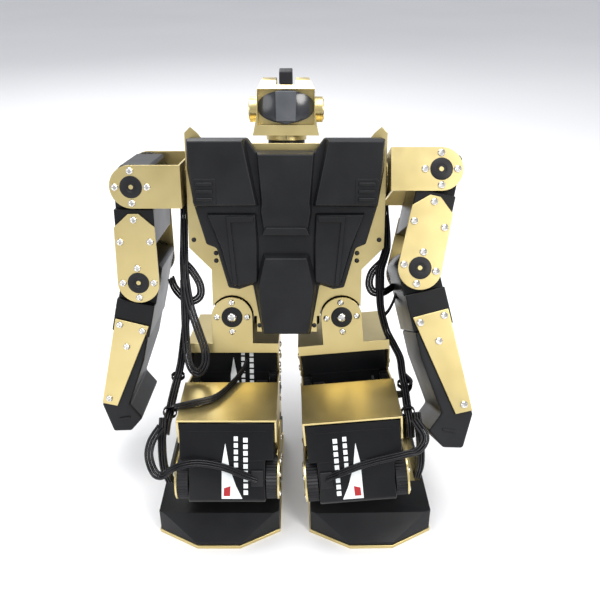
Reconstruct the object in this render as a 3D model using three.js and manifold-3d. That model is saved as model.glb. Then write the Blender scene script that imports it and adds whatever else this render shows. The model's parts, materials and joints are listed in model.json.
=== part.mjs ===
// A humanoid robot kit in a deep squat: sheet-metal brackets, servos held by their shoulders, plastic covers.
// Millimetres, +Z up, the robot faces -Y, and the soles stand on Z = 0.
import * as THREE from "three";
import { mergeVertices } from "three/addons/utils/BufferGeometryUtils.js";
import Module from "manifold-3d";

const wasm = await Module();
wasm.setup();

// Driving dimensions
const SHEET = 1; // thickness of every gold plate
const GAP = 0.3; // clearance between pieces that touch
const SERVO = { length: 40, width: 20, narrow: 19, shoulder: 23.2, end: 10, step: 11.5, chamfer: 1.5, heel: 4.5 };
const PLATE_IN = SERVO.shoulder + GAP; // inner face of a plate on a servo, from the servo's middle
const PLATE_OUT = PLATE_IN + SHEET;
const HORN = { radius: 10.2, from: SERVO.narrow + GAP };
const END = 10.8; // radius of a plate's round end
const LEAN = 12; // the torso leans back by this many degrees
const PELVIS = { y: 11, z: 104.5, hipX: 29, hipAxisY: 24, gap: 2.6 };
const SHOULDER = { x: 28, y: 15.6, z: 71, baseX: 51.9, rollX: 76.7 };
const UPPER_ARM = 50;
const HIP_DROP = 46; // hip roll axis to hip pitch axis
const THIGH = { y: -61.1, z: -14.2, kneeLean: 22.6 }; // knee axis from the hip pitch axis
const SHIN = 54.3;
const ANKLE = { drop: 22, rollZ: 13.2, shinPlate: 24.8 }; // drop: pitch axis to roll axis
const FOOT = { inner: -25.6, outer: 39, front: -62, rear: 38, wall: 1.6, height: 15, plate: 2 };
const ARMS = { left: { swing: 8, roll: 0, elbow: 13 }, right: { swing: 29, roll: -12.4, elbow: 25.5 } };
const LEGS = { left: { roll: 0 }, right: { roll: 5 } };
const CABLE = 5.2; // width of a bundle of servo leads

const rad = THREE.MathUtils.degToRad;
const finish = (color, roughness, metalness) => new THREE.MeshStandardMaterial({ color, roughness, metalness });
const GOLD = finish(0xd9c58a, 0.38, 0.85);
const BLACK = finish(0x1b1c1f, 0.5, 0);
const CASE = finish(0x111214, 0.42, 0);
const VISOR = finish(0x2c2e33, 0.18, 0);
const BOARD = finish(0x1d4a2b, 0.6, 0);
const WIRE = finish(0x0c0c0d, 0.4, 0);

// Solids
function solidOf(geometry) {
  geometry.deleteAttribute("normal");
  geometry.deleteAttribute("uv");
  const merged = mergeVertices(geometry, 1e-4);
  const vertProperties = new Float32Array(merged.attributes.position.array);
  const triVerts = new Uint32Array(merged.index.array);
  return new wasm.Manifold(new wasm.Mesh({ numProp: 3, vertProperties, triVerts }));
}
const AXES = {
  x: new THREE.Matrix4().makeBasis(
    new THREE.Vector3(0, 1, 0), new THREE.Vector3(0, 0, 1), new THREE.Vector3(1, 0, 0)),
  y: new THREE.Matrix4().makeBasis(
    new THREE.Vector3(1, 0, 0), new THREE.Vector3(0, 0, 1), new THREE.Vector3(0, -1, 0)),
  z: new THREE.Matrix4(),
};
// Extrudes a shape along an axis: the shape lies in (y, z) for x, in (x, z) for y and in (x, y) for z.
function prism(shape, axis, from, to, curveSegments = 12) {
  const geometry = new THREE.ExtrudeGeometry(shape, { depth: to - from, bevelEnabled: false, curveSegments });
  geometry.translate(0, 0, axis === "y" ? -to : from);
  return solidOf(geometry.applyMatrix4(AXES[axis]));
}
function box(x0, x1, y0, y1, z0, z1) {
  const geometry = new THREE.BoxGeometry(x1 - x0, y1 - y0, z1 - z0);
  return solidOf(geometry.translate((x0 + x1) / 2, (y0 + y1) / 2, (z0 + z1) / 2));
}
const polygon = (points) => new THREE.Shape(points.map(([a, b]) => new THREE.Vector2(a, b)));
const mirrored = (points) => polygon([...points, ...points.map(([a, b]) => [-a, b]).reverse()]);
function circle(a, b, radius) {
  return new THREE.Shape().absarc(a, b, radius, 0, 2 * Math.PI);
}
const disc = (axis, a, b, radius, from, to) => prism(circle(a, b, radius), axis, from, to);
const join = (first, ...others) => others.reduce((whole, other) => whole.add(other), first);
const cut = (first, ...others) => others.reduce((whole, other) => whole.subtract(other), first);

const robot = new THREE.Group();
function group(parent, x = 0, y = 0, z = 0) {
  const made = new THREE.Group();
  made.position.set(x, y, z);
  parent.add(made);
  return made;
}
function put(parent, name, solid, material) {
  const mesh = solid.getMesh();
  const geometry = new THREE.BufferGeometry();
  geometry.setAttribute("position", new THREE.BufferAttribute(new Float32Array(mesh.vertProperties), 3));
  geometry.setIndex(new THREE.BufferAttribute(new Uint32Array(mesh.triVerts), 1));
  const made = new THREE.Mesh(geometry, material);
  made.name = name;
  parent.add(made);
  return made;
}

// A servo about its horn axis, local X; its long case runs up +Z from the axis to its wide shoulders.
function servoSolid() {
  const { length, width, narrow, shoulder, end, step, chamfer, heel } = SERVO;
  const top = length - end;
  const front = polygon([
    [narrow, -end], [narrow, step], [shoulder, step], [shoulder, top],
    [-shoulder, top], [-shoulder, step], [-narrow, step], [-narrow, -end],
  ]);
  const half = width / 2;
  const side = polygon([
    [-half, -end + chamfer], [-half + chamfer, -end], [half - heel, -end], [half, -end + heel],
    [half, top], [-half, top],
  ]);
  return prism(front, "y", -half, half).intersect(prism(side, "x", -shoulder - 1, shoulder + 1));
}
const SERVO_SOLID = servoSolid();

// A horn disc on an axis along x or y, from the servo's case to half way into the plate that starts at "to".
function horn(axis, a, b, to, side) {
  const face = to + SHEET / 2;
  const [from, end] = side > 0 ? [HORN.from, face] : [-face, -HORN.from];
  return disc(axis, a, b, HORN.radius, from, end);
}

// Torso
const torso = group(robot, 0, PELVIS.y, PELVIS.z);
torso.rotation.x = rad(-LEAN);

const COVER = [
  [12.5, -6.5], [17, 20], [24, 17.6], [29.5, 18.5], [35, 39], [40, 41], [45, 59], [48, 78], [48, 92.9],
  [19, 92.9], [14.5, 86.9],
];
const COVER_FRONT = -16;
const COVER_WALL = 2.2;
function chestCover() {
  const keel = (inset) => { // what the sloping lower front takes off
    const front = COVER_FRONT - 1;
    return prism(polygon([[front, -9], [front, 40], [front + inset, 40], [-12.5 + inset, -9]]), "x", -60, 60);
  };
  const inner = COVER.map(([a, b]) => [a - COVER_WALL, b < 0 ? b + COVER_WALL : b - COVER_WALL]);
  const pocket = cut(prism(mirrored(inner), "y", COVER_FRONT + COVER_WALL, 0), keel(COVER_WALL));
  return cut(prism(mirrored(COVER), "y", COVER_FRONT, -1.2), keel(0), pocket);
}
put(torso, "chest_cover", chestCover(), BLACK);

const FRAME = [
  [17, -8.8], [17, -4], [39.2, -4], [39.2, 25.4], [50.5, 37], [50.5, 95], [47.5, 98], [44, 95], [40, 90],
];
function frontFrame() {
  const plate = prism(mirrored(FRAME), "y", -0.5, 0.5);
  const hips = [-1, 1].map((side) => disc("y", side * PELVIS.hipX, 0, END + 0.6, -2, 2));
  const lower = [-1, 1].map((side) => box(side * 29 - 13, side * 29 + 13, -2, 2, -10, 0));
  return cut(plate, ...hips, ...lower);
}
put(torso, "front_frame_plate", frontFrame(), GOLD);

const BACK = [[17, -8.8], [17, 12.5], [39.2, 12.5], [39.2, 25.4], [46, 37], [46, 82.5]];
put(torso, "back_frame_plate", prism(mirrored(BACK), "y", 47.6, 48.6), GOLD);
put(torso, "top_plate", box(-43, 43, 0.8, 47.3, 82.2, 83.2), GOLD);

function backCover() {
  const outline = [[30, 24], [39, 36], [39, 76], [33, 84]];
  const inner = [[28.4, 25.6], [37.4, 36.6], [37.4, 75.4], [32.3, 82.4]];
  return cut(prism(mirrored(outline), "y", 48.9, 67), prism(mirrored(inner), "y", 48, 65.4));
}
put(torso, "back_cover", backCover(), BLACK);
put(torso, "controller_board", box(-30, 30, 53, 54.6, 38, 78), BOARD);
put(torso, "battery_pack", box(-17.5, 17.5, 3, 45, -6, 29), CASE);
put(torso, "neck_post", disc("z", 0, 16, 9.5, 83.5, 90.7), BLACK);

for (const [name, side] of [["left", -1], ["right", 1]]) {
  const pitch = group(torso, side * SHOULDER.x, SHOULDER.y, SHOULDER.z);
  pitch.rotation.x = Math.PI;
  put(pitch, `shoulder_servo_${name}`, SERVO_SOLID, CASE);
  const roll = group(torso, side * PELVIS.hipX, PELVIS.hipAxisY, 0);
  roll.rotation.z = Math.PI / 2;
  put(roll, `hip_roll_servo_${name}`, SERVO_SOLID, CASE);
}

// Head, about the neck's axis
const head = group(torso, 0, 16, 91);
function headShell() {
  const face = mirrored([[16.6, 2.6], [14.6, 12], [14.2, 25], [11.4, 30.6], [4.8, 30.6], [4.8, 27]]);
  const profile = polygon([
    [-14.5, 2.6], [-13.5, 7.4], [-14, 25], [-11, 29.2], [-4, 30.7], [5, 30.5], [12, 25], [13.5, 14], [10, 2.6],
  ]);
  const body = prism(face, "y", -20, 20).intersect(prism(profile, "x", -20, 20));
  const ears = [[-18.6, -13.8], [13.8, 18.6]].map(([from, to]) => disc("x", 0, 15, 6.4, from, to));
  const collar = disc("z", 0, 0, 10.4, 0, 3);
  const visorPocket = box(-14.1, 14.1, -18, -6, 7.7, 24.9);
  const crestPocket = box(-3.7, 3.7, -18, 6, 26.9, 40);
  return cut(join(body, ...ears, collar), visorPocket, crestPocket);
}
put(head, "head_shell", headShell(), GOLD);
function visor() {
  const bowl = prism(circle(0, 3, 17.6), "z", 8, 24.6, 20);
  const outline = new THREE.Shape().absellipse(0, 16.4, 13.8, 8.3, 0, 2 * Math.PI);
  return bowl.intersect(prism(outline, "y", -18, -6.3));
}
put(head, "visor", visor(), VISOR);
const crest = polygon([[-12, 27.2], [-12, 33], [-7, 35], [2, 31], [4.5, 27.2]]);
put(head, "crest", prism(crest, "x", -3.3, 3.3), BLACK);

// Arms, about the shoulder pitch axis; x grows outwards before the side is applied
for (const [name, side] of [["left", -1], ["right", 1]]) {
  const { swing, roll, elbow } = ARMS[name];
  const outward = (points) => polygon(points.map(([a, b]) => [side * a, b]));
  const reach = SHOULDER.rollX - SHOULDER.baseX;
  const shoulder = group(torso, side * SHOULDER.baseX, SHOULDER.y, SHOULDER.z);
  shoulder.rotation.x = rad(LEAN - swing);
  const plateOutline = new THREE.Shape()
    .absarc(side * reach, 0, END, side * -Math.PI / 2, side * Math.PI / 2);
  plateOutline.lineTo(0, side > 0 ? END : -END);
  plateOutline.lineTo(0, side > 0 ? -END : END);
  const hornSpan = SHOULDER.baseX - SHOULDER.x - HORN.from;
  const bracket = join(
    prism(plateOutline, "y", -PLATE_OUT, -PLATE_IN),
    prism(plateOutline, "y", PLATE_IN, PLATE_OUT),
    box(Math.min(0, side), Math.max(0, side), -PLATE_OUT, PLATE_OUT, -END, END),
    disc("x", 0, 0, HORN.radius, side > 0 ? -hornSpan : -SHEET / 2, side > 0 ? SHEET / 2 : hornSpan),
    horn("y", side * reach, 0, PLATE_IN, -1),
    horn("y", side * reach, 0, PLATE_IN, 1),
  );
  put(shoulder, `shoulder_bracket_${name}`, bracket, GOLD);

  const upper = group(shoulder, side * reach, 0, 0);
  upper.rotation.y = rad(-side * roll);
  const rollServo = group(upper);
  rollServo.rotation.set(Math.PI, 0, Math.PI / 2);
  put(rollServo, `shoulder_roll_servo_${name}`, SERVO_SOLID, CASE);
  const plate = new THREE.Shape().absarc(0, -UPPER_ARM, END, Math.PI, 2 * Math.PI);
  [[10.3, -20.5], [2.6, -13.6], [-2.6, -13.6], [-10.3, -20.5]].forEach(([a, b]) => plate.lineTo(a, b));
  for (const [face, end] of [["front", -1], ["back", 1]]) {
    const [from, to] = end < 0 ? [-PLATE_OUT, -PLATE_IN] : [PLATE_IN, PLATE_OUT];
    const solid = prism(plate, "y", from, to).add(horn("y", 0, -UPPER_ARM, PLATE_IN, end));
    put(upper, `upper_arm_${face}_plate_${name}`, solid, GOLD);
  }

  const fore = group(upper, 0, 0, -UPPER_ARM);
  fore.rotation.y = rad(-side * elbow);
  const elbowServo = group(fore);
  elbowServo.rotation.set(Math.PI, 0, Math.PI / 2);
  put(elbowServo, `elbow_servo_${name}`, SERVO_SOLID, CASE);
  const forearm = outward([[9, -22.5], [9, -73.7], [0.6, -73.7], [-9, -23]]);
  put(fore, `forearm_front_plate_${name}`, prism(forearm, "y", -PLATE_OUT, -PLATE_IN), GOLD);
  put(fore, `forearm_back_plate_${name}`, prism(forearm, "y", PLATE_IN, PLATE_OUT), GOLD);
  const mitten = outward([
    [9, -30.4], [9, -76], [0.5, -91], [-9, -88.5], [-14, -79], [-5.8, -72], [-9.3, -44], [-9.3, -30.4],
  ]);
  put(fore, `hand_${name}`, prism(mitten, "y", -SERVO.shoulder, SERVO.shoulder), BLACK);
}

// Legs
function hipBracket() {
  const middle = PELVIS.hipAxisY;
  const front = -PELVIS.gap;
  const back = 2 * middle - front;
  const shape = new THREE.Shape().absarc(0, 0, END, 0, Math.PI);
  [[-END, -15.6], [-PLATE_OUT, -15.6], [-PLATE_OUT, -20], [PLATE_OUT, -20], [PLATE_OUT, -15.6], [END, -15.6]]
    .forEach(([a, b]) => shape.lineTo(a, b));
  const rear = new THREE.Shape().absarc(0, 0, END, 0, Math.PI);
  [[-END, -15.7], [END, -15.7]].forEach(([a, b]) => rear.lineTo(a, b));
  const flange = polygon([
    [front, -14.7], [front, -20], [6.3, -34], [25.8, -34], [back, -20], [back, -14.7],
  ]);
  return join(
    prism(shape, "y", front, front + SHEET),
    prism(rear, "y", back - SHEET, back),
    box(-PLATE_OUT, PLATE_OUT, front, back, -15.7, -14.7),
    prism(flange, "x", -PLATE_OUT, -PLATE_IN),
    prism(flange, "x", PLATE_IN, PLATE_OUT),
    disc("y", 0, 0, HORN.radius, front + SHEET / 2, middle - HORN.from),
    disc("y", 0, 0, HORN.radius, middle + HORN.from, back - SHEET / 2),
  );
}

function thighBracket() {
  const side = new THREE.Shape().absarc(0, 0, END, -Math.PI / 2, Math.PI * 0.62);
  [[-26, 17], [-26, 19.3], [-58, 19.3], [-59, 18.3], [-59, 6], [-53, -1], [-48, -7]]
    .forEach(([a, b]) => side.lineTo(a, b));
  return join(
    prism(side, "x", -PLATE_OUT, -PLATE_IN),
    prism(side, "x", PLATE_IN, PLATE_OUT),
    box(-PLATE_OUT, PLATE_OUT, -58.8, -26, 18.3, 19.3),
    horn("x", 0, 0, PLATE_IN, -1),
    horn("x", 0, 0, PLATE_IN, 1),
  );
}

function shinPlate(end) {
  const outline = new THREE.Shape().absarc(0, 0, END, Math.PI / 2, 1.5 * Math.PI);
  [[38, -END], [43, -5], [43, 5], [38, END]].forEach(([a, b]) => outline.lineTo(a, b));
  const far = ANKLE.shinPlate;
  const [from, to] = end < 0 ? [-far - SHEET, -far] : [far, far + SHEET];
  return prism(outline, "x", from, to).add(horn("x", 0, 0, far, end));
}

// The ankle's cross piece, about the pitch axis: horns along X above, horns along Y on the roll axis below.
function ankleBracket() {
  const { drop } = ANKLE;
  const flange = polygon([
    [-PLATE_OUT, -8.6], [PLATE_OUT, -8.6], [PLATE_OUT, 2], [10, 7], [-8, 7], [-13, 2], [-PLATE_OUT, -7],
  ]);
  const tee = (top) => {
    const shape = new THREE.Shape().absarc(0, -drop, 10.4, Math.PI, 2 * Math.PI);
    [[10.4, -13.4], [PLATE_OUT, -13.4], [PLATE_OUT, top], [-PLATE_OUT, top], [-PLATE_OUT, -13.4], [-10.4, -13.4]]
      .forEach(([a, b]) => shape.lineTo(a, b));
    return shape;
  };
  return join(
    prism(flange, "x", -PLATE_OUT, -PLATE_IN),
    prism(flange, "x", PLATE_IN, PLATE_OUT),
    prism(tee(-8.2), "y", -PLATE_OUT, -PLATE_IN),
    prism(tee(2), "y", PLATE_IN, PLATE_OUT),
    horn("x", 0, 0, PLATE_IN, -1),
    horn("x", 0, 0, PLATE_IN, 1),
    horn("y", 0, -drop, PLATE_IN, -1),
    horn("y", 0, -drop, PLATE_IN, 1),
  );
}

// The foot's outline, about the roll axis; side is 1 where outwards is +X.
function footOutline(side, inset) {
  const { inner, outer, front, rear } = FOOT;
  const points = [
    [inner + inset, rear - inset - 6], [inner + inset, front + 12], [-4.8, front + inset],
    [17.5, front + inset], [outer - inset, front + 12], [outer - inset, rear - inset - 6],
    [outer - inset - 6, rear - inset], [inner + inset + 6, rear - inset],
  ].map(([a, b]) => [side * a, b]);
  return polygon(side > 0 ? points : points.reverse());
}
function footShell(side) {
  const { height, plate, wall, front, rear } = FOOT;
  const pocket = prism(footOutline(side, 0.6 + wall), "z", plate, height + 1);
  const slope = polygon([[front - 1, 3.2], [front + 1, 3.2], [front + 10.6, height], [front + 10.6, 16], [front - 1, 16]]);
  return cut(
    prism(footOutline(side, 0.6), "z", plate + GAP, height),
    pocket.intersect(box(-60, 60, -27.5, rear, 0, height + 2)),
    prism(slope, "x", -60, 60),
  );
}

for (const [name, side] of [["left", -1], ["right", 1]]) {
  const hip = group(torso, side * PELVIS.hipX, 0, 0);
  hip.rotation.y = rad(-side * LEGS[name].roll);
  put(hip, `hip_bracket_${name}`, hipBracket(), GOLD);
  const pitchServo = group(hip, 0, 16, -HIP_DROP);
  put(pitchServo, `hip_pitch_servo_${name}`, SERVO_SOLID, CASE);

  const thigh = group(hip, 0, 16, -HIP_DROP);
  thigh.rotation.x = rad(LEAN);
  put(thigh, `thigh_bracket_${name}`, thighBracket(), GOLD);
  const kneeServo = group(thigh, 0, THIGH.y, THIGH.z);
  kneeServo.rotation.x = rad(-THIGH.kneeLean);
  put(kneeServo, `knee_servo_${name}`, SERVO_SOLID, CASE);

  const shin = group(thigh, 0, THIGH.y, THIGH.z);
  const ankle = group(shin, 0, SHIN, 0);
  const foot = group(ankle, 0, 0, -ANKLE.drop);
  levelFoot(shin, ankle, foot);
  put(shin, `shin_outer_plate_${name}`, shinPlate(side), GOLD);
  put(shin, `shin_inner_plate_${name}`, shinPlate(-side), GOLD);
  const ankleServo = group(shin, 0, SHIN, 0);
  ankleServo.rotation.set(Math.PI / 2, 0, Math.PI);
  put(ankleServo, `ankle_pitch_servo_${name}`, SERVO_SOLID, CASE);
  put(ankle, `ankle_bracket_${name}`, ankleBracket(), GOLD);

  const footBase = group(foot, 0, 0, -ANKLE.rollZ);
  const rollServo = group(foot);
  rollServo.rotation.set(0, side * Math.PI / 2, Math.PI / 2, "YZX");
  put(rollServo, `ankle_roll_servo_${name}`, SERVO_SOLID, CASE);
  put(footBase, `foot_plate_${name}`, prism(footOutline(side, 0), "z", 0, FOOT.plate), GOLD);
  put(footBase, `foot_shell_${name}`, footShell(side), BLACK);
}

// Turns the knee, the ankle pitch and the ankle roll until the sole lies flat on Z = 0.
function levelFoot(shin, ankle, foot) {
  const up = new THREE.Vector3();
  let low = rad(-14);
  let high = rad(8);
  for (let step = 0; step < 40; step++) {
    shin.rotation.x = (low + high) / 2;
    ankle.rotation.x = 0;
    foot.rotation.y = 0;
    robot.updateMatrixWorld(true);
    up.set(0, 0, 1).transformDirection(shin.matrixWorld.clone().invert());
    ankle.rotation.x = Math.atan2(-up.y, up.z);
    foot.rotation.y = Math.asin(up.x);
    robot.updateMatrixWorld(true);
    const height = foot.getWorldPosition(up).z;
    if (height > ANKLE.rollZ) high = shin.rotation.x;
    else low = shin.rotation.x;
  }
}

// Cable bundles: a tube along a curve, in the frame of the link that carries it
function cable(points, width) {
  const path = new THREE.CatmullRomCurve3(points.map((p) => new THREE.Vector3(...p)));
  const section = new THREE.Shape().absarc(0, 0, width / 2, 0, 2 * Math.PI);
  return solidOf(new THREE.ExtrudeGeometry(section, {
    steps: 14, curveSegments: 4, bevelEnabled: false, extrudePath: path,
  }));
}
for (const [name, side] of [["left", -1], ["right", 1]]) {
  const down = [[51, 14, 37], [51, 13, 28], [51, 11, 18], [51, 9, 8]].map(([x, y, z]) => [side * x, y, z]);
  put(torso, `torso_cable_${name}`, cable(down, CABLE), WIRE);
  const thigh = robot.getObjectByName(`thigh_bracket_${name}`).parent;
  const along = [[28.6, -20, 17], [28.7, -32, 12], [28.8, -44, 5], [29.6, -52, -6], [29.9, -52, -20]]
    .map(([x, y, z]) => [side * x, y, z]);
  put(thigh, `leg_cable_${name}`, cable(along, CABLE), WIRE);
}

// The part's origin is the middle of its bounding box at the soles.
const part = new THREE.Group();
part.add(robot);
part.updateMatrixWorld(true);
const middle = new THREE.Box3().setFromObject(robot, true).getCenter(new THREE.Vector3());
robot.position.set(-middle.x, -middle.y, 0);

export default part;
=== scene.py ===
import json
import math

import bmesh
import bpy
from mathutils import Matrix, Vector


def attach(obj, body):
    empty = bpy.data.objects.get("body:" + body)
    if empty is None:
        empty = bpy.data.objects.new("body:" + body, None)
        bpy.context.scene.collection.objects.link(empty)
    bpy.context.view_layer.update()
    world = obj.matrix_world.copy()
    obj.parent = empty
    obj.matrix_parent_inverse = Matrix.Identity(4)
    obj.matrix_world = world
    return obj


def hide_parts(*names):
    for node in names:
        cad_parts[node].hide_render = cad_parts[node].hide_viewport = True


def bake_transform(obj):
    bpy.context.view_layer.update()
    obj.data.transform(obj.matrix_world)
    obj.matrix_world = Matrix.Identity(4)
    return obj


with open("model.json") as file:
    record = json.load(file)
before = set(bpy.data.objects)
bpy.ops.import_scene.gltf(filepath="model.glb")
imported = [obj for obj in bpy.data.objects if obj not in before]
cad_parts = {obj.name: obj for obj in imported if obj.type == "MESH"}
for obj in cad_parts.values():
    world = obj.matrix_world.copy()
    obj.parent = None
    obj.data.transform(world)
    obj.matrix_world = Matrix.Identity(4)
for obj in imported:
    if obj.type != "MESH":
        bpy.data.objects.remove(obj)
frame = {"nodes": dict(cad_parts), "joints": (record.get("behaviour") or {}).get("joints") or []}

# A gold and black humanoid robot kit. Lengths below are in millimetres, in each link's own frame,
# and are scaled to metres where a mesh is made.
MM = 0.001
SIDES = {"left": -1, "right": 1}
LEAN = 12  # the torso leans back by this many degrees
KNEE_LEAN = 22.6  # the knee servo leans back from the thigh plate
ELBOW = {"left": 13, "right": 25.5}
HORN_RADIUS = 10.2
SCREW_CIRCLE = 8.0  # radius of the screw circle on every horn
PLATE_FACE = 24.5  # outer face of a plate, from its servo's middle
SHIN_FACE = 25.8
HIP_FACE = 26.6
HORN_START = 19.3  # inner face of a horn
SHEET = 1
STICKER = 0.12  # height of a label above the case
BAR_PITCH, BAR_HEIGHT = 3.3, 2.3  # the bars that stand in for print
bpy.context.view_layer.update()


# Camera, lights and floor ------------------------------------------------------------------------

def camera():
    data = bpy.data.cameras.new("camera")
    data.lens = 42.7
    data.sensor_width = 36
    data.clip_start, data.clip_end = 0.01, 20
    made = bpy.data.objects.new("camera", data)
    bpy.context.collection.objects.link(made)
    made.location = (0.0123, -0.3386, 0.290)
    made.rotation_euler = (math.radians(90 - 28), 0, 0)
    bpy.context.scene.camera = made


def area_light(name, place, aim, size, power, colour=(1, 1, 1)):
    data = bpy.data.lights.new(name, "AREA")
    data.shape, data.size, data.energy, data.color = "DISK", size, power, colour
    made = bpy.data.objects.new(name, data)
    bpy.context.collection.objects.link(made)
    made.location = place
    made.rotation_euler = (Vector(aim) - Vector(place)).to_track_quat("-Z", "Y").to_euler()


def studio():
    world = bpy.data.worlds.new("studio")
    bpy.context.scene.world = world
    world.use_nodes = True
    back = world.node_tree.nodes["Background"]
    back.inputs["Color"].default_value = (0.93, 0.95, 1, 1)
    back.inputs["Strength"].default_value = 0.62
    middle = (0, 0, 0.1)
    area_light("overhead", (0, -0.1, 1.1), middle, 0.9, 11)
    area_light("key", (0.75, -0.9, 0.75), middle, 0.5, 9, (1, 0.98, 0.95))
    area_light("fill", (-0.9, -0.7, 0.5), middle, 0.6, 3)
    area_light("rim", (-0.3, 0.9, 0.8), middle, 0.6, 4)
    bpy.context.scene.view_settings.view_transform = "Standard"


def floor():
    mesh = bpy.data.meshes.new("floor")
    made = bpy.data.objects.new("floor", mesh)
    bpy.context.collection.objects.link(made)
    grid = bmesh.new()
    bmesh.ops.create_grid(grid, x_segments=1, y_segments=1, size=3)
    grid.to_mesh(mesh)
    grid.free()
    mesh.materials.append(MATERIALS["floor"])


# Materials ---------------------------------------------------------------------------------------

class Nodes:
    """A material's node tree, with short calls for what every finish here needs."""

    def __init__(self, name, metallic, roughness):
        self.material = bpy.data.materials.new(name)
        self.material.use_nodes = True
        self.tree = self.material.node_tree
        self.shader = self.tree.nodes["Principled BSDF"]
        self.shader.inputs["Metallic"].default_value = metallic
        self.shader.inputs["Roughness"].default_value = roughness
        self.place = self.tree.nodes.new("ShaderNodeTexCoord").outputs["Object"]

    def noise(self, scale, detail=2.0, stretch=None):
        node = self.tree.nodes.new("ShaderNodeTexNoise")
        node.inputs["Scale"].default_value = scale
        node.inputs["Detail"].default_value = detail
        source = self.place
        if stretch:
            mapping = self.tree.nodes.new("ShaderNodeMapping")
            mapping.inputs["Scale"].default_value = stretch
            self.tree.links.new(source, mapping.inputs["Vector"])
            source = mapping.outputs["Vector"]
        self.tree.links.new(source, node.inputs["Vector"])
        return node.outputs["Fac"]

    def ramp(self, factor, low, high, start=0.3, end=0.7):
        node = self.tree.nodes.new("ShaderNodeValToRGB")
        ends = node.color_ramp.elements
        ends[0].position, ends[1].position = start, end
        ends[0].color, ends[1].color = (*low, 1), (*high, 1)
        self.tree.links.new(factor, node.inputs["Fac"])
        return node.outputs["Color"]

    def roughen(self, factor, low, high):
        node = self.tree.nodes.new("ShaderNodeMapRange")
        node.inputs["To Min"].default_value = low
        node.inputs["To Max"].default_value = high
        self.tree.links.new(factor, node.inputs["Value"])
        self.tree.links.new(node.outputs["Result"], self.shader.inputs["Roughness"])

    def bump(self, height, strength, distance):
        node = self.tree.nodes.new("ShaderNodeBump")
        node.inputs["Strength"].default_value = strength
        node.inputs["Distance"].default_value = distance
        self.tree.links.new(height, node.inputs["Height"])
        self.tree.links.new(node.outputs["Normal"], self.shader.inputs["Normal"])

    def colour(self, output):
        self.tree.links.new(output, self.shader.inputs["Base Color"])
        return self.material


def gold():
    n = Nodes("gold", 1.0, 0.34)
    broad = n.noise(28, 3)
    grain = n.noise(900, 2, (1, 0.12, 1))
    n.roughen(n.noise(120, 3), 0.27, 0.40)
    n.bump(grain, 0.10, 0.00008)
    return n.colour(n.ramp(broad, (0.60, 0.485, 0.215), (0.70, 0.58, 0.28)))


def moulded(name, low, high, rough, scale, strength):
    n = Nodes(name, 0.0, 0.5)
    n.shader.inputs["Specular IOR Level"].default_value = 0.22
    n.roughen(n.noise(60, 3), *rough)
    n.bump(n.noise(scale, 3), strength, 0.00012)
    return n.colour(n.ramp(n.noise(45, 3), low, high))


def steel():
    n = Nodes("steel", 1.0, 0.25)
    n.roughen(n.noise(500, 2), 0.18, 0.34)
    n.bump(n.noise(1500, 2), 0.1, 0.00003)
    return n.colour(n.ramp(n.noise(250, 2), (0.58, 0.57, 0.55), (0.74, 0.73, 0.71)))


def visor_gloss():
    n = Nodes("visor", 0.0, 0.2)
    n.roughen(n.noise(90, 2), 0.14, 0.24)
    n.bump(n.noise(400, 2), 0.03, 0.00005)
    return n.colour(n.ramp(n.noise(60, 2), (0.016, 0.017, 0.02), (0.03, 0.032, 0.036)))


def printed(name, low, high):
    n = Nodes(name, 0.0, 0.35)
    n.roughen(n.noise(200, 2), 0.3, 0.45)
    n.bump(n.noise(900, 2), 0.04, 0.00004)
    return n.colour(n.ramp(n.noise(80, 2), low, high))


def pale_floor():
    n = Nodes("floor", 0.0, 0.55)
    return n.colour(n.ramp(n.noise(2, 2), (0.86, 0.86, 0.87), (0.9, 0.9, 0.91)))


MATERIALS = {
    "gold": gold(),
    "black": moulded("black", (0.006, 0.0063, 0.007), (0.012, 0.0125, 0.014), (0.34, 0.48), 1400, 0.3),
    "case": moulded("case", (0.003, 0.0032, 0.004), (0.007, 0.0073, 0.008), (0.28, 0.4), 1100, 0.12),
    "horn": moulded("horn", (0.008, 0.008, 0.009), (0.018, 0.018, 0.02), (0.38, 0.5), 900, 0.2),
    "wire": moulded("wire", (0.004, 0.004, 0.005), (0.011, 0.011, 0.013), (0.22, 0.34), 600, 0.08),
    "steel": steel(),
    "visor": visor_gloss(),
    "grey": printed("grey", (0.06, 0.064, 0.072), (0.1, 0.105, 0.115)),
    "white": printed("white", (0.66, 0.70, 0.71), (0.8, 0.82, 0.82)),
    "red": printed("red", (0.26, 0.008, 0.012), (0.36, 0.012, 0.016)),
    "ink": printed("ink", (0.01, 0.01, 0.012), (0.025, 0.025, 0.028)),
    "board": printed("board", (0.01, 0.09, 0.04), (0.02, 0.14, 0.06)),
    "floor": pale_floor(),
}


# Link frames, worked out from the joints ---------------------------------------------------------

JOINTS = {joint["name"]: joint for joint in frame["joints"]}


def place_of(joint):
    return Vector(JOINTS[joint]["pos_m"])


def axis_of(joint):
    return Vector(JOINTS[joint]["axis"]).normalized()


def link_frame(x, y, origin):
    """A frame from two perpendicular directions, scaled so that its own unit is a millimetre."""
    x, y = x.normalized(), y.normalized()
    z = x.cross(y)
    turn = Matrix((x, y, z)).transposed().to_4x4()
    return Matrix.Translation(origin) @ turn @ Matrix.Scale(MM, 4)


def turned(base, x=0, y=0, z=0, at=(0, 0, 0)):
    turns = Matrix.Identity(4)
    for angle, axis in ((x, "X"), (y, "Y"), (z, "Z")):
        turns = turns @ Matrix.Rotation(math.radians(angle), 4, axis)
    return base @ Matrix.Translation(at) @ turns


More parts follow.
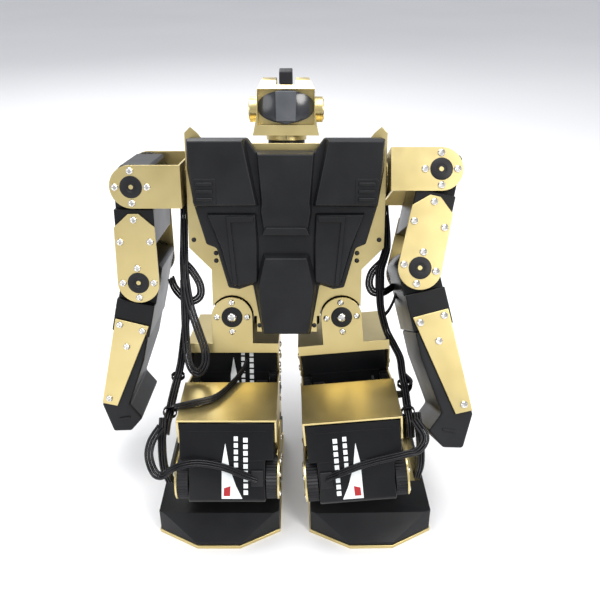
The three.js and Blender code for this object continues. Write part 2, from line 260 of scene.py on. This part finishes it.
def make_frames():
    across = Vector((1, 0, 0))
    back = axis_of("hip_roll_left")
    hips = (place_of("hip_roll_left") + place_of("hip_roll_right")) / 2
    made = {"torso": link_frame(across, back, hips)}
    made["head"] = link_frame(across, back, place_of("head_pan"))
    for name, side in SIDES.items():
        roll = axis_of(f"shoulder_roll_{name}") * side
        made[f"shoulder_{name}"] = link_frame(across, roll, place_of(f"shoulder_pitch_{name}"))
        up = place_of(f"shoulder_roll_{name}") - place_of(f"elbow_{name}")
        x = roll.cross(up)
        made[f"upper_arm_{name}"] = link_frame(x, roll, place_of(f"shoulder_roll_{name}"))
        upper = link_frame(x, roll, place_of(f"elbow_{name}"))
        made[f"forearm_{name}"] = turned(upper, y=-side * ELBOW[name])
        pitch = axis_of(f"hip_pitch_{name}")
        made[f"hip_{name}"] = link_frame(pitch, back, place_of(f"hip_roll_{name}"))
        made[f"thigh_{name}"] = turned(link_frame(pitch, back, place_of(f"hip_pitch_{name}")), x=LEAN)
        shin = place_of(f"ankle_pitch_{name}") - place_of(f"knee_{name}")
        made[f"shin_{name}"] = link_frame(pitch, shin, place_of(f"knee_{name}"))
        roll = axis_of(f"ankle_roll_{name}")
        made[f"ankle_{name}"] = link_frame(pitch, roll, place_of(f"ankle_pitch_{name}"))
        level = roll.cross(Vector((0, 0, 1)))
        made[f"foot_{name}"] = link_frame(level, roll, place_of(f"ankle_roll_{name}"))
        knee = turned(made[f"thigh_{name}"], x=-KNEE_LEAN)
        knee.translation = place_of(f"knee_{name}")
        made[f"knee_servo_{name}"] = knee
        made[f"hip_servo_{name}"] = link_frame(pitch, back, place_of(f"hip_pitch_{name}"))
    return made


FRAMES = make_frames()


# Mesh building -----------------------------------------------------------------------------------

def finish_mesh(name, build, finish, base, body, bevel=0.0, replaces=(), smooth=40):
    """Turns a bmesh in a link's own frame into a piece that rides on a body."""
    if base is not None:
        bmesh.ops.transform(build, matrix=base, verts=build.verts)
    bmesh.ops.recalc_face_normals(build, faces=build.faces)
    mesh = bpy.data.meshes.new(name)
    build.to_mesh(mesh)
    build.free()
    mesh.materials.append(MATERIALS[finish])
    for face in mesh.polygons:
        face.use_smooth = True
    mesh.set_sharp_from_angle(angle=math.radians(smooth))
    made = bpy.data.objects.new(name, mesh)
    bpy.context.collection.objects.link(made)
    if bevel:
        edge = made.modifiers.new("bevel", "BEVEL")
        edge.width, edge.segments, edge.limit_method = bevel * MM, 2, "ANGLE"
        edge.angle_limit = math.radians(32)
        edge.harden_normals = True
    if body:
        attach(made, body)
    if replaces:
        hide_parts(*replaces)
    return made


def add_prism(build, outline, low, high, plane="y"):
    """A closed prism: the outline lies in (x, z) for y, in (y, z) for x and in (x, y) for z."""
    put = {
        "x": lambda a, b, d: (d, a, b),
        "y": lambda a, b, d: (a, d, b),
        "z": lambda a, b, d: (a, b, d),
    }[plane]
    first = [build.verts.new(put(a, b, low)) for a, b in outline]
    last = [build.verts.new(put(a, b, high)) for a, b in outline]
    build.faces.new(first)
    build.faces.new(last[::-1])
    count = len(outline)
    for i in range(count):
        j = (i + 1) % count
        build.faces.new((first[i], last[i], last[j], first[j]))


def add_tapered(build, outline, inner, low, high):
    """A prism along y whose face at low is the inner outline, for a panel with sloping edges."""
    first = [build.verts.new((a, low, b)) for a, b in inner]
    last = [build.verts.new((a, high, b)) for a, b in outline]
    build.faces.new(first)
    build.faces.new(last[::-1])
    count = len(outline)
    for i in range(count):
        j = (i + 1) % count
        build.faces.new((first[i], last[i], last[j], first[j]))


def ring(radius, count, at=(0, 0), start=0.0):
    return [
        (at[0] + radius * math.cos(start + 2 * math.pi * i / count),
         at[1] + radius * math.sin(start + 2 * math.pi * i / count))
        for i in range(count)
    ]


def lathe(build, profile, count, base):
    """Turns (radius, height) points about local z, in the frame base."""
    rings = []
    for radius, height in profile:
        if radius < 1e-6:
            rings.append([build.verts.new(base @ Vector((0, 0, height)))])
        else:
            rings.append([build.verts.new(base @ Vector((a, b, height))) for a, b in ring(radius, count)])
    for low, high in zip(rings, rings[1:]):
        for i in range(count):
            j = (i + 1) % count
            corners = [low[i % len(low)], low[j % len(low)], high[j % len(high)], high[i % len(high)]]
            build.faces.new(list(dict.fromkeys(corners)))


def mirror_outline(points):
    return points + [(-a, b) for a, b in reversed(points)]


def sided(points, side):
    return [(side * a, b) for a, b in points]


def cad_piece(node, finish, body, bevel=0.2, name=None):
    """A finished copy of a CAD node: flat faces joined, edges rounded, and a real finish."""
    build = bmesh.new()
    build.from_mesh(frame["nodes"][node].data)
    bmesh.ops.remove_doubles(build, verts=build.verts, dist=0.00002)
    bmesh.ops.dissolve_limit(build, angle_limit=math.radians(1), verts=build.verts, edges=build.edges)
    return finish_mesh(name or f"{node}_finish", build, finish, None, body, bevel, (node,))


# Z of a frame turned to point along one of another frame's directions
FACING = {
    "+x": Matrix.Rotation(math.radians(90), 4, "Y"), "-x": Matrix.Rotation(math.radians(-90), 4, "Y"),
    "+y": Matrix.Rotation(math.radians(-90), 4, "X"), "-y": Matrix.Rotation(math.radians(90), 4, "X"),
    "+z": Matrix.Identity(4), "-z": Matrix.Rotation(math.radians(180), 4, "X"),
}


def facing(direction, at):
    return Matrix.Translation(at) @ FACING[direction]


def add_screw(build, base, radius=1.9):
    """A pan head with a round recess, standing on local z = 0."""
    height = radius * 0.55
    profile = [(0, -0.3), (radius, -0.3), (radius, height * 0.35), (radius * 0.85, height * 0.8),
               (radius * 0.55, height), (radius * 0.5, height * 0.35), (0, height * 0.3)]
    lathe(build, profile, 14, base)


def screws(name, body, base, spots, radius=1.9, finish="steel"):
    """All the screws of one plate, as one piece; each spot is (direction, place)."""
    build = bmesh.new()
    for direction, at in spots:
        add_screw(build, facing(direction, at), radius)
    return finish_mesh(name, build, finish, base, body)


def circle_spots(direction, at, radius=SCREW_CIRCLE, start=0.0):
    """Four screw places round a horn's middle."""
    plane = {"x": (1, 2), "y": (0, 2)}[direction[1]]
    spots = []
    for quarter in range(4):
        angle = math.radians(start + 90 * quarter)
        place = list(at)
        place[plane[0]] += radius * math.cos(angle)
        place[plane[1]] += radius * math.sin(angle)
        spots.append((direction, tuple(place)))
    return spots


def add_horn(build, base, inner, outer):
    """A knurled ring about local z between two heights."""
    teeth = 40
    rim = []
    for i in range(teeth * 2):
        radius = HORN_RADIUS + (0.42 if i % 2 else 0.0)
        angle = math.pi * i / teeth
        rim.append((radius * math.cos(angle), radius * math.sin(angle)))
    step = len(build.verts)
    add_prism(build, rim, inner, outer, "z")
    build.verts.ensure_lookup_table()
    bmesh.ops.transform(build, matrix=base, verts=build.verts[step:])


def horn_pair(axis, at, face=PLATE_FACE):
    """The two horns of a servo, from its case to the plates whose outer face is given."""
    return [(f"{way}{axis}", at, HORN_START, round(face - SHEET, 1), face) for way in "-+"]


def horns(name, body, base, spots):
    """One link's horns; each spot is (direction, servo's middle, inner, outer, plate face)."""
    build = bmesh.new()
    for direction, at, inner, outer, face in spots:
        here = facing(direction, at)
        add_horn(build, here, inner, outer)
        hub = [(0, face - 0.4), (5.6, face - 0.4), (5.6, face + 0.25), (5.2, face + 0.45), (2.6, face + 0.45),
               (2.2, face + 0.1), (1.2, face + 0.1), (1.0, face - 0.2), (0, face - 0.2)]
        lathe(build, hub, 32, here)
    return finish_mesh(name, build, "horn", base, body, 0.0)


# Servos ------------------------------------------------------------------------------------------

def servo_trim(name, body, base, inward, label=True):
    """A servo's cover lines, label and lead exit; inward is the exit's side, 1 or -1."""
    build = bmesh.new()
    for z in (11.2, 26.0):
        add_prism(build, [(-19.15, z), (19.15, z), (19.15, z + 0.5), (-19.15, z + 0.5)], -10.15, 10.15)
    add_prism(build, [(-23.35, 27.2), (23.35, 27.2), (23.35, 30.1), (-23.35, 30.1)], -10.2, 10.2)
    finish_mesh(f"{name}_seams", build, "case", base, body, 0.12)
    build = bmesh.new()
    add_prism(build, sided([(12, -1.2), (18, -1.2), (18, 6.8), (12, 6.8)], inward), -11.2, -9.9)
    finish_mesh(f"{name}_lead_exit", build, "horn", base, body, 0.4)
    if label:
        servo_label(name, body, base, inward)


def servo_label(name, body, base, inward):
    """A plain sticker: a white wedge with a red mark, and short bars in place of print."""
    face = -10.12
    build = bmesh.new()
    wedge = [(-2.6, -7.6), (7.6, -7.6), (4.6, -1.4), (1.4, 8), (-0.6, 20.4), (-2.4, 10)]
    add_prism(build, sided(wedge, inward), face - STICKER, face)
    for rows, low, x0, x1 in ((9, -5.6, 8.2, 10.4), (6, 5.0, 3.6, 5.6)):
        for row in range(rows):
            z = low + row * BAR_PITCH
            bar = [(x0, z), (x1, z), (x1, z + BAR_HEIGHT), (x0, z + BAR_HEIGHT)]
            add_prism(build, sided(bar, inward), face - STICKER, face)
    finish_mesh(f"{name}_label", build, "white", base, body)
    build = bmesh.new()
    mark = [(-1.6, -6.2), (1.6, -6.2), (1.8, -1.2), (-1.4, -2.2)]
    add_prism(build, sided(mark, inward), face - 0.2, face - 0.1)
    finish_mesh(f"{name}_label_mark", build, "red", base, body)


# Torso -------------------------------------------------------------------------------------------

COVER = [
    (12.5, -6.5), (17, 20), (24, 17.6), (29.5, 18.5), (35, 39), (40, 41), (45, 59), (48, 78), (48, 92.9),
    (19, 92.9), (14.5, 86.9),
]


def panel(name, outline, inset, low, high, bevel=0.5, centre=None):
    """A raised panel of the chest cover with sloping edges, inset towards its own middle."""
    cx = sum(a for a, _ in outline) / len(outline) if centre is None else centre[0]
    cz = sum(b for _, b in outline) / len(outline) if centre is None else centre[1]
    inner = []
    for a, b in outline:
        away = math.hypot(a - cx, b - cz)
        inner.append((a - (a - cx) / away * inset, b - (b - cz) / away * inset))
    build = bmesh.new()
    add_tapered(build, outline, inner, low, high)
    return finish_mesh(name, build, "black", FRAMES["torso"], "torso", bevel)


def chest():
    base = FRAMES["torso"]
    build = bmesh.new()
    add_prism(build, mirror_outline(COVER), -11.5, -1.2)
    finish_mesh("chest_cover_body", build, "black", base, "torso", 0.8, ("chest_cover",))
    for name, side in SIDES.items():
        pad = [(48.2, 93.1), (19.5, 93.1), (13.2, 60.2), (45.4, 59.6), (48.2, 78)]
        panel(f"chest_pad_{name}", sided(pad, side), 1.6, -16, -11, 0.7)
        panel(f"chest_side_{name}", sided([(39.4, 57.2), (14.6, 57.2), (13.4, 41), (14, 21), (23.4, 18.6),
              (27.8, 19.4), (33.6, 40)], side), 1.5, -13.6, -11, 0.5)
        panel(f"chest_rib_{name}", sided([(29.5, 55.8), (15.5, 55.8), (16, 53), (27.4, 53), (24.6, 20.5),
              (26.6, 20.0)], side), 0.3, -14.6, -13, 0.3, centre=(side * 27, 45))
        vent(name, side)
    panel("chest_centre", [(-14.2, 86.6), (14.2, 86.6), (12.8, 62), (13.2, 57.5), (11.4, 47.6), (-11.4, 47.6),
          (-13.2, 57.5), (-12.8, 62)], 1.2, -15, -11, 0.6)
    panel("chest_ledge", [(-12.4, 46.4), (12.4, 46.4), (10.6, 50.4), (-10.6, 50.4)], 0.8, -16.2, -14, 0.4)
    panel("chest_keel", [(-11.6, 36.8), (11.6, 36.8), (16.2, 20), (12.4, -6.6), (-12.4, -6.6), (-16.2, 20)],
          2.4, -16.6, -11, 0.6)


def vent(name, side):
    """A rounded recess on the pad with three bars across it."""
    base = FRAMES["torso"]
    build = bmesh.new()
    rim = [(34.2, 61.8), (44.6, 61.8), (45.2, 62.6), (45.2, 73.4), (44.4, 74.2), (34.4, 74.2), (33.8, 73.4),
           (33.8, 62.6)]
    add_prism(build, sided(rim, side), -16.35, -15.6)
    finish_mesh(f"chest_vent_{name}", build, "black", base, "torso", 0.3)
    build = bmesh.new()
    for row in range(3):
        z = 63.4 + row * 3.7
        add_prism(build, sided([(35.4, z), (43.6, z), (43.6, z + 1.7), (35.4, z + 1.7)], side), -17.3, -16.2)
    finish_mesh(f"chest_vent_bars_{name}", build, "black", base, "torso", 0.5)


def torso():
    base = FRAMES["torso"]
    chest()
    for node in ("front_frame_plate", "back_frame_plate", "top_plate"):
        cad_piece(node, "gold", "torso")
    cad_piece("back_cover", "black", "torso", 0.9)
    cad_piece("battery_pack", "horn", "torso", 1.0)
    cad_piece("controller_board", "board", "torso", 0.1)
    build = bmesh.new()
    neck = [(0, 83.4), (9.4, 83.4), (9.5, 84), (9.5, 86), (9.0, 86.2), (9.0, 86.8), (9.5, 87), (9.5, 90.6),
            (0, 90.6)]
    lathe(build, neck, 40, Matrix.Translation((0, 16, 0)))
    finish_mesh("neck_ring", build, "horn", base, "torso", 0, ("neck_post",))
    front = ((47.8, 41.2), (36.6, 34.2), (36.6, 30.2), (14.6, -5.2))
    holes = [("-y", (side * x, -0.45, z)) for side in (-1, 1) for x, z in front]
    screws("frame_holes", "torso", base, holes, 1.25, "ink")
    rear = ((42.5, 78), (42.5, 42), (33, 27), (27, 18), (12, 0))
    back = [("+y", (side * x, 48.6, z)) for side in (-1, 1) for x, z in rear]
    back += [("+y", (side * 33, 67, z)) for side in (-1, 1) for z in (40, 74)]
    screws("back_screws", "torso", base, back)
    build = bmesh.new()
    for row in range(5):
        z = 46 + row * 6.2
        rib = [(-20, z), (20, z), (21, z + 1.5), (20, z + 3), (-20, z + 3), (-21, z + 1.5)]
        add_prism(build, rib, 66.6, 67.8)
    finish_mesh("back_cover_ribs", build, "black", base, "torso", 0.5)
    for name, side in SIDES.items():
        cad_piece(f"shoulder_servo_{name}", "case", "torso", 0.5)
        cad_piece(f"hip_roll_servo_{name}", "case", "torso", 0.5)


def head():
    base = FRAMES["head"]
    cad_piece("head_shell", "gold", "head", 0.45)
    build = bmesh.new()
    columns, rows = 28, 14
    grid = []
    for row in range(rows + 1):
        level = row / rows * 2 - 1
        half = 14.0 * math.sqrt(max(0.0, 1 - abs(level) ** 2.6)) * 0.35 + 14.0 * 0.65 * (1 - abs(level) ** 3)
        line = []
        for column in range(columns + 1):
            across = column / columns * 2 - 1
            x = half * across
            depth = -14.9 + 0.022 * x * x + 1.2 * level * level
            line.append(build.verts.new((x, depth, 16.4 + 8.4 * level)))
        grid.append(line)
    for low, high in zip(grid, grid[1:]):
        for i in range(columns):
            build.faces.new((low[i], low[i + 1], high[i + 1], high[i]))
    bmesh.ops.remove_doubles(build, verts=build.verts, dist=0.001)
    bmesh.ops.solidify(build, geom=build.faces[:], thickness=1.6)
    finish_mesh("visor_glass", build, "visor", base, "head", 0, ("visor",), 60)
    build = bmesh.new()
    add_prism(build, [(-4.9, 9.4), (4.9, 9.4), (5.2, 24.0), (-5.2, 24.0)], -15.25, -14.0)
    finish_mesh("visor_centre", build, "grey", base, "head", 0.4)
    cad_piece("crest", "horn", "head", 0.5)
    build = bmesh.new()
    for side in (-1, 1):
        here = facing("+x" if side > 0 else "-x", (side * 18.5, 0, 15))
        disc = [(0, 0), (5.4, 0), (5.2, 0.6), (3.4, 0.7), (3.2, 0.2), (1.6, 0.2), (1.4, 0.7), (0, 0.8)]
        lathe(build, disc, 30, here)
    finish_mesh("ear_discs", build, "gold", base, "head")
    build = bmesh.new()
    add_prism(build, [(-0.15, 0.4), (0.15, 0.4), (0.15, 2.4), (-0.15, 2.4)], -10.5, -10.2)
    finish_mesh("collar_mark", build, "ink", base, "head")


# Arms --------------------------------------------------------------------------------------------

def arm(name, side):
    shoulder, upper, fore = f"shoulder_{name}", f"upper_arm_{name}", f"forearm_{name}"
    reach = 24.8
    base = FRAMES[shoulder]
    cad_piece(f"shoulder_bracket_{name}", "gold", shoulder)
    out = "-x" if side > 0 else "+x"
    roll = (side * reach, 0, 0)
    horns(f"shoulder_horns_{name}", shoulder, base, [
        *horn_pair("y", roll), (out, (0, 0, 0), 0.2, 4.4, 4.0)])
    front = circle_spots("-y", (side * reach, -PLATE_FACE, 0))
    back = circle_spots("+y", (side * reach, PLATE_FACE, 0))
    screws(f"shoulder_screws_{name}", shoulder, base, front + back)

    base = FRAMES[upper]
    for face in ("front", "back"):
        cad_piece(f"upper_arm_{face}_plate_{name}", "gold", upper)
    cad_piece(f"shoulder_roll_servo_{name}", "case", upper, 0.6)
    elbow = (0, 0, -50)
    horns(f"elbow_horns_{name}", upper, base, horn_pair("y", elbow))
    spots = []
    for direction, y in (("-y", -PLATE_FACE), ("+y", PLATE_FACE)):
        spots += circle_spots(direction, (0, y, -50))
        spots += [(direction, (a, y, b)) for a, b in ((0, -16.6), (-7.6, -28), (7.6, -28))]
    screws(f"upper_arm_screws_{name}", upper, base, spots)

    base = FRAMES[fore]
    for face in ("front", "back"):
        cad_piece(f"forearm_{face}_plate_{name}", "gold", fore, 0.25)
    cad_piece(f"elbow_servo_{name}", "case", fore, 0.6)
    hand(name, side, base, fore)
    spots = []
    for direction, y in (("-y", -PLATE_FACE), ("+y", PLATE_FACE)):
        places = ((6.2, -25.4), (-6.0, -26.2), (0.8, -37), (5.6, -70))
        spots += [(direction, (side * a, y, b)) for a, b in places]
    screws(f"forearm_screws_{name}", fore, base, spots)


def hand(name, side, base, body):
    """The forearm shell and its mitten: a bevelled block with a raised thumb line on the front."""
    mitten = [(9, -30.4), (9, -76), (0.5, -91), (-9, -88.5), (-14, -79), (-5.8, -72), (-9.3, -44),
              (-9.3, -30.4)]
    build = bmesh.new()
    add_prism(build, sided(mitten, side), -23.2, 23.2)
    finish_mesh(f"hand_shell_{name}", build, "black", base, body, 1.2, (f"hand_{name}",))
    build = bmesh.new()
    add_prism(build, sided([(-1.5, -82.6), (-7.4, -80.2), (-7.0, -79.2), (-1.1, -81.6)], side), -23.9, -23.0)
    finish_mesh(f"hand_line_{name}", build, "black", base, body, 0.25)


# Legs --------------------------------------------------------------------------------------------

def leg(name, side):
    hip, thigh, shin = f"hip_{name}", f"thigh_{name}", f"shin_{name}"
    ankle, foot = f"ankle_{name}", f"foot_{name}"
    base = FRAMES[hip]
    cad_piece(f"hip_bracket_{name}", "gold", hip)
    cad_piece(f"hip_pitch_servo_{name}", "case", hip, 0.5)
    middle = (0, 24, 0)
    horns(f"hip_horns_{name}", hip, base, horn_pair("y", middle, HIP_FACE))
    spots = circle_spots("-y", (0, -2.6, 0)) + circle_spots("+y", (0, 50.6, 0))
    for x, direction in ((-PLATE_FACE, "-x"), (PLATE_FACE, "+x")):
        spots += [(direction, (x, y, z)) for y, z in ((9, -24), (23, -24), (9, -31), (23, -31))]
    screws(f"hip_screws_{name}", hip, base, spots, 1.7)
    screws(f"hip_centre_screw_{name}", hip, base, [("-y", (0, -3.0, 0)), ("+y", (0, 51, 0))], 2.6)
    servo_trim(f"hip_servo_{name}", hip, FRAMES[f"hip_servo_{name}"], -side, label=name == "left")

    base = FRAMES[thigh]
    cad_piece(f"thigh_bracket_{name}", "gold", thigh, 0.35)
    cad_piece(f"knee_servo_{name}", "case", thigh, 0.7)
    horns(f"thigh_horns_{name}", thigh, base, horn_pair("x", (0, 0, 0)))
    servo_trim(f"knee_servo_{name}", thigh, FRAMES[f"knee_servo_{name}"], -side)
    spots = []
    for x, direction in ((-PLATE_FACE, "-x"), (PLATE_FACE, "+x")):
        spots += circle_spots(direction, (x, 0, 0), start=45)
    screws(f"thigh_screws_{name}", thigh, base, spots, 1.5)

    base = FRAMES[shin]
    cad_piece(f"shin_outer_plate_{name}", "gold", shin)
    cad_piece(f"shin_inner_plate_{name}", "gold", shin)
    cad_piece(f"ankle_pitch_servo_{name}", "case", shin, 0.5)
    horns(f"shin_horns_{name}", shin, base, horn_pair("x", (0, 0, 0), SHIN_FACE))
    spots = []
    for x, direction in ((-SHIN_FACE, "-x"), (SHIN_FACE, "+x")):
        spots += circle_spots(direction, (x, 0, 0), start=45)
        spots += [(direction, (x, y, z)) for y, z in ((28, 6), (28, -6), (38, 0))]
    screws(f"shin_screws_{name}", shin, base, spots, 1.5)

    base = FRAMES[ankle]
    cad_piece(f"ankle_bracket_{name}", "gold", ankle)
    roll = (0, 0, -22)
    horns(f"ankle_horns_{name}", ankle, base, horn_pair("x", (0, 0, 0)) + horn_pair("y", roll))
    spots = circle_spots("-y", (0, -PLATE_FACE, -22)) + circle_spots("+y", (0, PLATE_FACE, -22))
    screws(f"ankle_screws_{name}", ankle, base, spots, 1.5)

    cad_piece(f"ankle_roll_servo_{name}", "case", foot, 0.5)
    cad_piece(f"foot_plate_{name}", "gold", foot, 0.3)
    cad_piece(f"foot_shell_{name}", "black", foot, 0.8)


# Wiring ------------------------------------------------------------------------------------------

def smooth_path(points, per=8):
    """Points along a smooth curve through the given ones."""
    points = [Vector(p) for p in points]
    padded = [points[0] * 2 - points[1], *points, points[-1] * 2 - points[-2]]
    path = []
    for i in range(1, len(padded) - 2):
        a, b, c, d = padded[i - 1:i + 3]
        for k in range(per):
            t = k / per
            path.append(0.5 * (2 * b + (c - a) * t + (2 * a - 5 * b + 4 * c - d) * t * t
                               + (3 * b - a - 3 * c + d) * t ** 3))
    return path + [points[-1]]


def wires(name, body, base, points, layout, radius=0.62, twist=0.0, blend=None):
    """Several round wires side by side along one path: layout holds each wire's (across, out) offset."""
    path = smooth_path(points)
    build = bmesh.new()
    sides = 8
    across = None
    lines = []
    for i, here in enumerate(path):
        along = (path[min(i + 1, len(path) - 1)] - path[max(i - 1, 0)]).normalized()
        if across is None:
            seed = Vector((0, 1, 0)) if abs(along.y) < 0.8 else Vector((1, 0, 0))
            across = along.cross(seed).normalized()
        across = (across - along * across.dot(along)).normalized()
        out = along.cross(across)
        turn = twist * i / len(path)
        u = across * math.cos(turn) + out * math.sin(turn)
        v = out * math.cos(turn) - across * math.sin(turn)
        lines.append((here, u, v))
    for a, b in layout:
        rings = []
        for here, u, v in lines:
            centre = here + u * a + v * b
            rings.append([build.verts.new(centre + u * x + v * y) for x, y in ring(radius, sides)])
        for low, high in zip(rings, rings[1:]):
            for k in range(sides):
                build.faces.new((low[k], low[(k + 1) % sides], high[(k + 1) % sides], high[k]))
        build.faces.new(rings[0][::-1])
        build.faces.new(rings[-1])
    made = finish_mesh(name, build, "wire", base, None if blend else body, 0, (), 60)
    if blend:
        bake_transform(made)
    return made


RIBBON = [(-1.5, 0), (0, 0), (1.5, 0)]
BUNDLE = [(across, out) for out in (-1.3, 0, 1.3) for across in (-1.3, 0, 1.3)]


def tie(name, body, base, at, radius, direction):
    """A cable tie: a flat band round a bundle."""
    build = bmesh.new()
    here = facing(direction, at)
    lathe(build, [(radius, -1), (radius + 0.5, -1), (radius + 0.5, 1), (radius, 1), (radius, -1)], 20, here)
    finish_mesh(name, build, "wire", base, body, 0.1)


ROW = Matrix.Scale(MM, 4)  # the row frame, in millimetres

# Each route: points in the row frame, in millimetres
ROUTES = {
    "left": {
        "drop": [
            (-47.7, 12, 164), (-48.3, 9, 151), (-48.6, 5, 140), (-48.8, 2, 131.6), (-48.2, -4, 118),
        ],
        "to_hip": [
            (-48.2, -4, 118), (-48.5, -8, 103.4), (-50.5, -12, 88.9), (-51.5, -17, 81.3),
            (-52.8, -22, 75.7),
        ],
        "to_thigh": [
            (-52.8, -22, 75.7), (-53.9, -31, 71.7), (-54.4, -39, 69.2), (-54.4, -43, 67.7),
        ],
        "along": [
            (-54.4, -43, 67.7), (-55.1, -49, 66), (-55.6, -54, 62),
        ],
        "loop": [
            (-48.6, 4, 137.6), (-48.1, -2, 125.9), (-45.4, -10, 112.3), (-41.2, -16, 100.6),
            (-37.6, -21, 91.4), (-37.6, -24, 84.6), (-41.3, -26, 80.3), (-45.5, -24, 83.4),
            (-47.6, -18, 92.6), (-48.3, -11, 106.9), (-48.8, -3, 123.5),
        ],
        "small": [
            (-48.8, 2, 131.6), (-44.2, 0, 126.7), (-40.6, -2, 120), (-40.8, -4, 114.5),
            (-45.1, -5, 112), (-50, -3, 113.4), (-55.2, 4, 115.2), (-58.1, 10, 118.2),
        ],
    },
    "right": {
        "drop": [
            (56.2, 11, 160), (57.2, 9, 151), (58, 6, 139.6), (56.5, 3, 133.4), (54.6, 0, 127.9),
            (54.6, -3, 117.6),
        ],
        "to_hip": [
            (54.6, -3, 117.6), (55.3, -6, 108.3), (58.6, -9, 96.5), (62.8, -12, 88.9),
            (65.8, -17, 83.9), (66.6, -22, 78.3), (67.1, -28, 74.7),
        ],
        "to_thigh": [
            (67.1, -28, 74.7), (67.4, -36, 71.5), (67.5, -44, 68.5),
        ],
        "along": [
            (67.5, -44, 68.5), (68, -50, 65.5), (68, -55, 61),
        ],
        "loop": [
            (55.4, 2, 131.6), (50.2, -0.6, 126.7), (48.9, -2.4, 120.6), (51.4, -3, 116.4),
            (57.3, 0, 114.8), (63.6, 8, 114.4),
        ],
        "small": [
            (64.5, 14, 119.9), (64.3, 4, 112.7), (60.8, -2, 106.1), (56.2, -6, 102.2),
        ],
    },
}
THIGH_RIBBON = [(-16.2, -16, 80.7), (-18.6, -22, 78.6), (-23.1, -31.9, 77.6), (-30.6, -44.2, 77.6),
                (-41.1, -49.3, 77.8), (-48.3, -50, 76.2), (-52.6, -44, 70.5)]
# From the outside of the knee across the servo's front to its lead exit, in the knee servo's frame;
# x grows outwards
KNEE_RIBBONS = {
    "left": [(33, -4, 27), (37.5, -6, 20), (38.5, -8, 13), (35.5, -10.5, 6), (31, -12.8, 5), (25, -14.4, 9.4),
             (15, -13.8, 11.6), (3, -12.6, 9.6), (-9.6, -11.8, 4.6), (-15, -11, 2.4)],
    "right": [(31, -3, 28), (35, -8, 20), (31, -12.4, 15.2), (24, -14.2, 14), (6, -12.4, 10.4), (-9, -12, 6),
              (-15, -11, 4)],
}


def sided3(points, side):
    return [(side * x, y, z) for x, y, z in points]


def wiring(name, side):
    torso_body, hip_body, thigh_body = "torso", f"hip_{name}", f"thigh_{name}"
    route = ROUTES[name]
    ends = [route[part][end] for part in ("to_hip", "to_thigh") for end in (0, -1)]
    drop = wires(f"torso_bundle_{name}", torso_body, ROW, route["drop"], BUNDLE, twist=0.8 * side)
    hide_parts(f"torso_cable_{name}")
    wires(f"hip_bundle_{name}", torso_body, ROW, route["to_hip"], BUNDLE, blend=(hip_body, *ends[:2]))
    wires(f"thigh_bundle_{name}", hip_body, ROW, route["to_thigh"], BUNDLE, blend=(thigh_body, *ends[2:]))
    along = wires(f"leg_bundle_{name}", thigh_body, ROW, route["along"], BUNDLE)
    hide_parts(f"leg_cable_{name}")
    wires(f"big_loop_{name}", torso_body, ROW, route["loop"], RIBBON, 0.72)
    wires(f"small_loop_{name}", torso_body, ROW, route["small"], RIBBON, 0.72)
    knee = FRAMES[f"knee_servo_{name}"]
    wires(f"knee_lead_{name}", thigh_body, knee, sided3(KNEE_RIBBONS[name], side), RIBBON, 0.72)
    down = [(33, 2, 30), (33.5, 0, 18), (33.5, 4, 4), (32, 12, -6)]
    wires(f"ankle_lead_{name}", thigh_body, knee, sided3(down, side), BUNDLE)
    tie(f"hip_tie_{name}", hip_body, ROW, route["to_hip"][-1], 3.1, "+z")
    tie(f"leg_tie_{name}", thigh_body, ROW, route["along"][0], 3.1, "+y")
    if name == "left":
        wires("hip_servo_lead", hip_body, ROW, THIGH_RIBBON, RIBBON, 0.72,
              blend=(thigh_body, THIGH_RIBBON[1], THIGH_RIBBON[3]))
    else:
        wrap = [(50.8, -22, 74.4), (52.2, -26, 70.7), (58.9, -29, 69.6), (66, -31, 70.6), (71, -28, 74.7),
                (67.5, -23, 77)]
        for row in range(3):
            turn = [(x, y, z + 1.5 * (row - 1)) for x, y, z in wrap]
            wires(f"lead_wrap_{row}", hip_body, ROW, turn, [(0, 0)], 0.72)


def build_all():
    camera()
    studio()
    floor()
    torso()
    head()
    for name, side in SIDES.items():
        arm(name, side)
        leg(name, side)
        wiring(name, side)


build_all()
